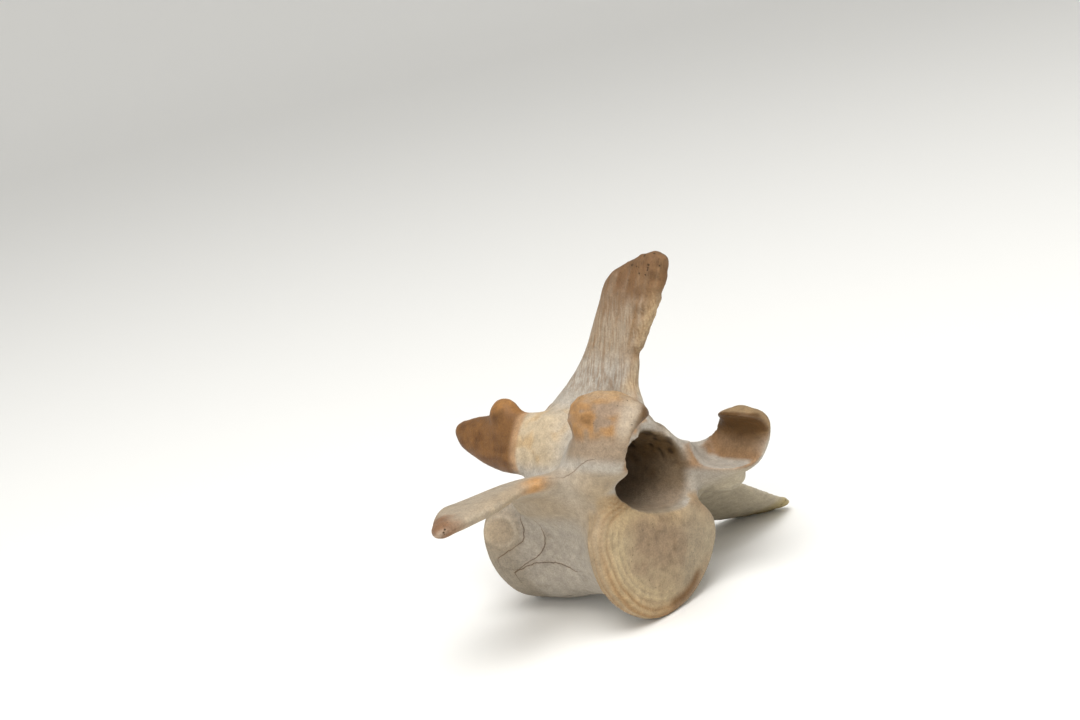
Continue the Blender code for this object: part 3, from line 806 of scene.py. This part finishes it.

# %% [markdown]
# The end faces were capped with a plate of rougher bone. Their rim is orange-brown, rings of growth
# show pale and dark inside it, and the middle is mottled grey-brown, where the disc's soft core sat.
# The head face darkens towards the animal's left side, partly its own tone and partly painted shade.

# %% Stains on the end faces and their rims, and painted shade across the head face
middle = ramp(head_share + 0.20 * blotch + 0.08 * cloud, 0.85, 0.25)
crescent = np.exp(-((np.hypot(y - 4, z + 2) - 13.5) / 1.6) ** 2) * ramp(y, 3, 7) * ramp(z, -4, -8)
colour = layered(
    colour,
    ("#AA9776", 0.92 * head_face),
    ("#C2A67E", 0.7 * head_face * ramp(z, 4, 11)),
    ("#97734B", 0.8 * head_face * ramp(from_rim + wander, 5.5, 2.0)),
    ("#8D775F", 0.9 * head_face * middle),
    ("#6F5B45", 0.55 * head_face * ramp(fleck, 0.1, 0.9) * ramp(head_share, 0.9, 0.35)),
    # Partly the face's own grey tone, partly painted shade: the head face is laid darker towards the
    # animal's left side.
    ("#918572", 0.55 * head_face * ramp(y + wander, 4, 14)),
    ("#C0AA84", 0.65 * head_face * (0.5 + 0.5 * growth) * ramp(from_rim, 10, 6) * ramp(y, 10, -6)),
    ("#6B4A28", 0.85 * crescent * head_face),
    ("#A88E66", 0.7 * head_rim * ramp(x + wander, 20, 25)),
    ("#8F6A40", head_rim * ramp(x + wander, 21, 25) * (0.30 + 0.30 * lips) * ramp(-y, 0, 10)),
    ("#A08B6A", 0.85 * tail_face),
    ("#8A6A44", 0.6 * tail_face * ramp(from_tail_rim + wander, 4.5, 1.5)),
    ("#B7A27D", 0.5 * tail_face * (0.5 + 0.5 * tail_growth) * ramp(from_tail_rim, 9, 5)),
    ("#826C4D", 0.7 * tail_face * ramp(tail_share + 0.15 * blotch, 0.85, 0.4)),
    ("#65523A", 0.5 * tail_face * ramp(fleck, 0.1, 0.9) * ramp(tail_share, 0.8, 0.3)),
    ("#93816A", 0.6 * scar_side * ramp(from_scar, 7.5, 4.0)),
    ("#BDB09C", 0.5 * scar_side * np.exp(-((from_scar - 4.6) / 0.8) ** 2)))
print("mean colour with the end faces:", np.round(colour.mean(0), 2))

# %% [markdown]
# The processes take the strongest stains: the joint pegs are dark brown with a clear border, the
# scoops are brown inside with a tan lip, and the knob is streaked orange. Painted shade darkens the
# upper inner wall of each scoop, under its lip, and the underside of the right knob.

# %% Stains and painted shade on the joint processes
brown_pegs = ramp(x + 0.8 * wander, -20.5, -23.0) * ramp(z + 0.4 * wander, 18, 20)
streak = blotch + 0.6 * noise(P * [0.3, 1, 1], 1.5, 23)
right_knob = knob * (y < 0)
colour = layered(
    colour,
    ("#A98055", 0.8 * ramp(x + 0.8 * wander, -18.5, -21) * ramp(z, 20, 23) * ramp(z, 45, 42)),
    ("#724D27", 0.95 * brown_pegs * ramp(x, -21, -24.5)),
    ("#5A3A1C", 0.75 * brown_pegs * ramp(streak, -0.1, 0.9)),
    ("#A27340", 0.75 * brown_pegs * ramp(z + wander, 38.5, 43)),
    ("#946C40", 0.5 * brown_pegs * ramp(-wide_hollow, 0.45, 0.9)),
    ("#8F6B44", 0.9 * facet),
    # Painted shade on the brown facet: its upper part, under the scoop's lip, is laid darker.
    ("#553A1A", 0.9 * facet * ramp(z + 1.5 * blotch, 31, 39)),
    ("#8F7552", 0.9 * scoops * (1 - facet) * (y > 0) * ramp(z, 34, 40)),
    ("#97806A", 0.8 * right_knob),
    # Painted shade: the underside of the right knob, where it joins its lobe, is laid a darker brown.
    ("#8C7254", 0.7 * ramp(x, 12, 20) * ramp(-y, 20, 25) * ramp(z, 27, 31) * ramp(z, 40, 36)),
    ("#A47A4A", 0.85 * right_knob * ramp(streak, -0.6, 0.3) * ramp(x, 15, 21) * ramp(x, 44, 40)),
    ("#7F5B34", 0.6 * right_knob * ramp(streak, 0.4, 1.1) * ramp(x, 18, 24)),
    ("#B3A48F", 0.75 * right_knob * ramp(x, 40, 44)))
print("mean colour with the joints:", np.round(colour.mean(0), 2))

# %% [markdown]
# The blades are cream with rusty tips, and the spine darkens towards its top in long fibres. The
# canal is brown, darkest in the pores of its roof. Creases get a painted shade of darker brown, and
# worn ridges are laid on last, paler than the rest.

# %% Stains on the blades, the spine and the canal, and painted shade in the creases
fibres = noise(up_spine, [1.1, 1.4, 1.4], 24)
worn_ridge = (1 - 0.7 * brown_pegs) * (1 - tip) * (1 - 0.8 * scoops * (y > 0))
orange_spot = np.exp(-(((x - 18) / 4) ** 2 + ((y + 42) / 4.5) ** 2)) * ramp(z, 17, 19)
colour = layered(
    colour,
    ("#A08D72", 0.85 * blade_right * (0.8 + 0.3 * cloud)),
    ("#C08A48", 0.75 * orange_spot),
    ("#7D5638", 0.85 * ramp(-y + 2 * wander, 62, 72)),
    ("#A99D85", 0.8 * blade_left),
    ("#A29058", 0.7 * ramp(y + wander, 68, 78)),
    ("#A08C73", 0.75 * spine_area * ramp(z, 53, 64)),
    ("#BBA07A", 0.75 * spine_area * ramp(x - 0.32 * (z - 50), 12, 16)),
    ("#8C6D49", 0.75 * spine_area * ramp(fibres, 0.05, 0.8) * ramp(z, 50, 72)),
    ("#704F31", 0.9 * ramp(z + 2.5 * wander + 5 * fibres, 68, 88)),
    ("#4A3520", 0.7 * tip * ramp(fleck, 0.1, 0.8)),
    ("#7A6346", 0.85 * canal),
    ("#5C431F", roof * (0.60 + 0.3 * blotch)),
    ("#2C1E0E", 0.8 * roof * pores),
    ("#A8957F", 0.8 * canal * ramp(z, 21, 14)),
    # Painted shade: creases and hollows are laid a darker brown, where shade falls in them.
    ("#6E5940", 0.22 * ramp(near_hollow, 0.08, 0.30)),
    ("#2E2114", ramp(hole_depth, 0.35, 0.75)),
    ("#D2C7B4", 0.5 * ramp(-near_hollow, 0.12, 0.32) * worn_ridge),
    ("#8A6A45", 0.6 * chip))
print("mean colour:", np.round(colour.mean(0), 2))

# %% [markdown]
# ## The finished mesh
#
# The relief goes into the mesh, and the colours, the cracks and a few masks go onto its points as
# attributes that the material reads. The upright position is kept as well, so that fibres follow the
# bone and not the room.


# %% Write the points and their attributes
def keep(name, kind, key, values):
    """Stores one value for each point under a name that the material can read."""
    attribute = bone_mesh.attributes.new(name, kind, "POINT")
    attribute.data.foreach_set(key, np.ascontiguousarray(values, np.float32).ravel())


bone_mesh.vertices.foreach_set("co", bone_points.astype(np.float32).ravel())
keep("stain", "FLOAT_COLOR", "color", np.hstack([colour, np.ones((len(P), 1))]))
keep("upright", "FLOAT_VECTOR", "vector", P)
keep("cracks_1", "FLOAT_VECTOR", "vector", cracks_1)
keep("cracks_2", "FLOAT_VECTOR", "vector", cracks_2)
rough_area = np.clip(tip + blade_tip + 0.6 * roof + 0.4 * head_rim + 0.4 * knob + 0.3 * head_face, 0, 1)
keep("areas", "FLOAT_VECTOR", "vector", np.stack([rough_area, spine_area, np.maximum(facet, pegs)], 1))
bone_mesh.update()
bone_mesh.shade_smooth()
bone = bpy.data.objects.new("bone_surface", bone_mesh)
bpy.context.scene.collection.objects.link(bone)
print("attributes:", len(bone_mesh.attributes))

# %% [markdown]
# ## Dry bone
#
# Dry cortical bone is collagen and mineral: matt, a little waxy where it is dense, chalky where the
# surface has weathered. Its colour never lies flat. There are specks of half a millimetre, mottles
# of 2.6 mm and fine fibres along the spine, and cracks about 0.15 mm wide with brown edges. Real
# specks and cracks are finer still, and are drawn this coarse so that they show. One small function
# adds a node with its settings and links.

# %% A node with its settings and links
bone_finish = bpy.data.materials.new("dry_weathered_bone")
bone_finish.use_nodes = True
tree = bone_finish.node_tree
shader = tree.nodes["Principled BSDF"]


def node(kind, inputs=None, **settings):
    """Adds a node, sets its properties, and links or sets each input by its key."""
    made = tree.nodes.new(kind)
    for key, value in settings.items():
        setattr(made, key, value)
    for key, value in (inputs or {}).items():
        if isinstance(value, bpy.types.NodeSocket):
            tree.links.new(value, made.inputs[key])
        else:
            made.inputs[key].default_value = value
    return made


stained = node("ShaderNodeAttribute", attribute_name="stain").outputs["Color"]
upright = node("ShaderNodeAttribute", attribute_name="upright").outputs["Vector"]
area_vector = node("ShaderNodeAttribute", attribute_name="areas").outputs["Vector"]
rough, fibrous, smooth = node("ShaderNodeSeparateXYZ", {0: area_vector}).outputs
print("nodes so far:", len(tree.nodes))

# %% [markdown]
# The pattern coordinates are in millimetres, so a Noise texture's scale is one over its grain in
# mm. Specks and mottles brighten and darken the stain a little. The fibres are the same noise read
# through coordinates that are squeezed along the spine, and they are browner than the bone.

# %% Specks, mottles and fibres
specks = node("ShaderNodeTexNoise", {"Vector": upright, "Scale": 1 / 0.55, "Detail": 3.0}).outputs[0]
mottles = node("ShaderNodeTexNoise", {
    "Vector": upright, "Scale": 1 / 2.6, "Detail": 4.0, "Roughness": 0.62}).outputs[0]
long_way = node("ShaderNodeMapping", {
    "Vector": upright, "Rotation": (0, math.radians(-18), 0), "Scale": (1.0, 1.0, 0.09)}).outputs[0]
fibre = node("ShaderNodeTexNoise", {
    "Vector": long_way, "Scale": 1 / 0.75, "Detail": 4.0, "Roughness": 0.6}).outputs[0]
speck_tone = node("ShaderNodeMapRange", {
    "Value": specks, "From Min": 0.3, "From Max": 0.7, "To Min": 0.84, "To Max": 1.10}).outputs[0]
mottle_tone = node("ShaderNodeMapRange", {
    "Value": mottles, "From Min": 0.3, "From Max": 0.7, "To Min": 0.80, "To Max": 1.13}).outputs[0]
tone = node("ShaderNodeMath", {0: speck_tone, 1: mottle_tone}, operation="MULTIPLY").outputs[0]
toned = node("ShaderNodeVectorMath", {0: stained, 3: tone}, operation="SCALE").outputs[0]
print("nodes so far:", len(tree.nodes))


# %% Brown fibres along the spine
def paint(hex_code):
    """A hex colour as the four linear numbers of a socket."""
    return (*[float(c) for c in linear(hex_code)], 1.0)


brown_share = node("ShaderNodeMapRange", {
    "Value": fibre, "From Min": 0.46, "From Max": 0.62, "To Min": 0.0, "To Max": 0.55}).outputs[0]
brown_share = node("ShaderNodeMath", {0: brown_share, 1: fibrous}, operation="MULTIPLY").outputs[0]
fibred = node("ShaderNodeMix", {
    "Factor": brown_share, 6: toned, 7: paint("#7A5C3C")}, data_type="RGBA").outputs[2]
print("nodes so far:", len(tree.nodes))

# %% [markdown]
# Dark pits show where the outer layer is worn: at the tips, on the rims and in the canal's roof. A
# pit is drawn where a point is close to the middle of its Voronoi cell, and each cell has its own
# random size of pit.

# %% Pits
cells = node("ShaderNodeTexVoronoi", {"Vector": upright, "Scale": 1 / 1.2}).outputs
cell_random = node("ShaderNodeSeparateColor", {0: cells["Color"]}).outputs[0]
cell_size = node("ShaderNodeMapRange", {
    "Value": cell_random, "From Min": 0.3, "From Max": 1.0, "To Min": 0.0, "To Max": 0.42}).outputs[0]
worn_share = node("ShaderNodeMapRange", {"Value": rough, "To Min": 0.12, "To Max": 1.0}).outputs[0]
pit_size = node("ShaderNodeMath", {0: cell_size, 1: worn_share}, operation="MULTIPLY").outputs[0]
inside = node("ShaderNodeMath", {0: pit_size, 1: cells["Distance"]}, operation="SUBTRACT").outputs[0]
pit = node("ShaderNodeMapRange", {"Value": inside, "From Max": 0.10, "To Max": 0.85}).outputs[0]
print("nodes so far:", len(tree.nodes))

# %% [markdown]
# The six cracks come as two vectors of signed distances. A little noise makes them waver, and the
# smallest size of the six says how far the nearest one is. The thread itself is dark, and a paler
# brown edge lies round it.

# %% Cracks
noise_wave = node("ShaderNodeTexNoise", {"Vector": upright, "Scale": 1 / 1.8, "Detail": 3.0}).outputs[0]
wave = node("ShaderNodeMapRange", {"Value": noise_wave, "To Min": -0.7, "To Max": 0.7}).outputs[0]
away = []
for name in ("cracks_1", "cracks_2"):
    offsets = node("ShaderNodeAttribute", attribute_name=name).outputs["Vector"]
    moved = node("ShaderNodeVectorMath", {0: offsets, 1: wave}, operation="ADD").outputs[0]
    away.append(node("ShaderNodeVectorMath", {0: moved}, operation="ABSOLUTE").outputs[0])
pairs = node("ShaderNodeVectorMath", {0: away[0], 1: away[1]}, operation="MINIMUM").outputs[0]
first, second, third = node("ShaderNodeSeparateXYZ", {0: pairs}).outputs
nearest = node("ShaderNodeMath", {0: first, 1: second}, operation="MINIMUM").outputs[0]
nearest = node("ShaderNodeMath", {0: nearest, 1: third}, operation="MINIMUM").outputs[0]
HALF_CRACK = 0.07
thread = node("ShaderNodeMapRange", {
    "Value": nearest, "From Min": HALF_CRACK, "From Max": 0.18, "To Min": 0.62,
    "To Max": 0.0}).outputs[0]
brown_edge = node("ShaderNodeMapRange", {
    "Value": nearest, "From Min": HALF_CRACK, "From Max": 0.8, "To Min": 0.18,
    "To Max": 0.0}).outputs[0]
edged = node("ShaderNodeMix", {"Factor": brown_edge, 6: fibred, 7: paint("#8A6644")}, data_type="RGBA")
cracked = node("ShaderNodeMix", {
    "Factor": thread, 6: edged.outputs[2], 7: paint("#5A3D24")}, data_type="RGBA")
pitted = node("ShaderNodeMix", {
    "Factor": pit, 6: cracked.outputs[2], 7: paint("#3F2E18")}, data_type="RGBA")
tree.links.new(pitted.outputs[2], shader.inputs["Base Color"])
print("nodes so far:", len(tree.nodes))

# %% [markdown]
# The bump carries what is finer than the net: grain, fibres, pits and cracks, a few hundredths of a
# millimetre high. Facets that cartilage once covered are smoother, so they are given a lower
# roughness. A little light passes under the surface of bone, which softens its shadows.

# %% Bump and gloss
fibre_height = node("ShaderNodeMath", {0: fibre, 1: fibrous}, operation="MULTIPLY").outputs[0]
grain = node("ShaderNodeMath", {0: mottles, 1: 0.65}, operation="MULTIPLY").outputs[0]
for part, amount in ((specks, 0.35), (fibre_height, 1.1), (pit, -1.0), (thread, -1.2)):
    grain = node("ShaderNodeMath", {0: part, 1: amount, 2: grain}, operation="MULTIPLY_ADD").outputs[0]
bump = node("ShaderNodeBump", {"Height": grain, "Strength": 1.0, "Distance": 0.00038}).outputs[0]
matt = node("ShaderNodeMapRange", {
    "Value": mottles, "From Min": 0.3, "From Max": 0.7, "To Min": 0.62, "To Max": 0.74}).outputs[0]
gloss = node("ShaderNodeMath", {0: smooth, 1: -0.16, 2: matt}, operation="MULTIPLY_ADD").outputs[0]
tree.links.new(bump, shader.inputs["Normal"])
tree.links.new(gloss, shader.inputs["Roughness"])
shader.inputs["IOR"].default_value = 1.5
shader.inputs["Specular IOR Level"].default_value = 0.25
shader.inputs["Subsurface Weight"].default_value = 0.03
shader.inputs["Subsurface Radius"].default_value = (1.0, 0.6, 0.35)
shader.inputs["Subsurface Scale"].default_value = 0.0012
bone_mesh.materials.clear()
bone_mesh.materials.append(bone_finish)
print("nodes in the bone finish:", len(tree.nodes))

# %% [markdown]
# ## The bone stands for the solid parts
#
# The solid model is parted by thin cuts into the pieces that a person would name. The visible bone
# is one skin over all of them, so it replaces every one and rides on the same body.

# %% Ride on the solid model
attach(bone, "root")
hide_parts(*sorted(frame["nodes"]))
print("replaced:", len(frame["nodes"]))

# %% [markdown]
# ## Floor, light and camera
#
# A museum photographs bones on white under large soft lights. The floor is matt white paper, which
# gives the eye nothing but the bone's soft shadow. The strongest lamp hangs above and to the left, two
# weaker ones fill from both sides, and a bright even surround lifts the shadows.


# %% A pale floor
def pale_floor():
    """A sheet of white paper turned round z: flat to 1.6 m, then rising as the square of the way
    beyond that, so no edge shows behind the bone."""
    radius = np.concatenate([np.linspace(0.001, 1.6, 6), np.linspace(1.75, 3.2, 16)])[:, None]
    angle = np.linspace(0, 2 * np.pi, 96, endpoint=False)[None]
    rise = np.clip(radius - 1.6, 0, None) ** 2 * 0.8 * np.ones_like(angle)
    points = np.stack([radius * np.cos(angle), radius * np.sin(angle), rise], -1).reshape(-1, 3)
    i, j = np.meshgrid(np.arange(21), np.arange(96), indexing="ij")
    a, b = (i * 96 + j).ravel(), (i * 96 + (j + 1) % 96).ravel()
    faces = np.stack([a, a + 96, b + 96, b], 1).tolist() + [list(range(96))]
    mesh = bpy.data.meshes.new("floor")
    mesh.from_pydata(points.tolist(), [], faces)
    mesh.shade_smooth()
    made = bpy.data.objects.new("floor", mesh)
    bpy.context.scene.collection.objects.link(made)
    white = bpy.data.materials.new("matt_white_paper")
    white.use_nodes = True
    white.node_tree.nodes["Principled BSDF"].inputs["Base Color"].default_value = paint("#F1F0EC")
    white.node_tree.nodes["Principled BSDF"].inputs["Roughness"].default_value = 0.9
    mesh.materials.append(white)
    return made


pale_floor()
print("floor: 6.4 m across")


# %% Soft lights
def soft_lamp(name, place, target, size, watts):
    """A square area lamp at a place in metres, turned so that it shines at a target."""
    data = bpy.data.lights.new(name, "AREA")
    data.shape = "SQUARE"
    data.size = size
    data.energy = watts
    made = bpy.data.objects.new(name, data)
    made.location = place
    made.rotation_euler = (Vector(target) - Vector(place)).to_track_quat("-Z", "Y").to_euler()
    bpy.context.scene.collection.objects.link(made)
    return made


soft_lamp("lamp_above", (-0.30, -0.30, 1.1), (0, 0, 0.04), 0.8, 12)
soft_lamp("lamp_left", (-1.0, -0.4, 0.55), (0, 0, 0.05), 0.8, 3.6)
soft_lamp("lamp_right", (0.7, -0.9, 0.6), (0, 0, 0.05), 0.8, 1.8)
world = bpy.data.worlds.new("studio")
bpy.context.scene.world = world
world.use_nodes = True
world.node_tree.nodes["Background"].inputs["Color"].default_value = (1.0, 1.0, 1.0, 1.0)
world.node_tree.nodes["Background"].inputs["Strength"].default_value = 0.55
bpy.context.scene.view_settings.view_transform = "Standard"
print("lamps: 3")

# %% [markdown]
# The camera was found by matching the outline of the bone to its outline in the photograph. A
# 66.67 mm lens on a 36 mm sensor gives 2000 pixels of focal length on a frame 1080 pixels wide. Its
# place and its three directions are written in the bone's upright frame and laid down with it.

# %% The camera
VIEW_RIGHT = (0.668514, 0.743214, 0.026849)
VIEW_DOWN = (0.024679, 0.013913, -0.999599)
VIEW_FORWARD = (-0.743290, 0.668909, -0.009041)
BONE_IN_VIEW_MM = (17.3157, 58.1300, 632.0584)
axes = np.array([VIEW_RIGHT, VIEW_DOWN, VIEW_FORWARD])
eye = in_world((-axes.T @ np.array(BONE_IN_VIEW_MM))[None])[0]
turn = LAY[:3, :3] @ (axes * np.array([[1], [-1], [-1]])).T
camera = bpy.data.objects.new("camera", bpy.data.cameras.new("camera"))
camera.data.sensor_width = 36
camera.data.lens = 2000 / 1080 * 36
camera.data.clip_start = 0.01
placed = np.eye(4)
placed[:3, :3], placed[:3, 3] = turn, eye
camera.matrix_world = Matrix(placed.tolist())
bpy.context.scene.collection.objects.link(camera)
bpy.context.scene.camera = camera
print("camera, m:", np.round(eye, 3))
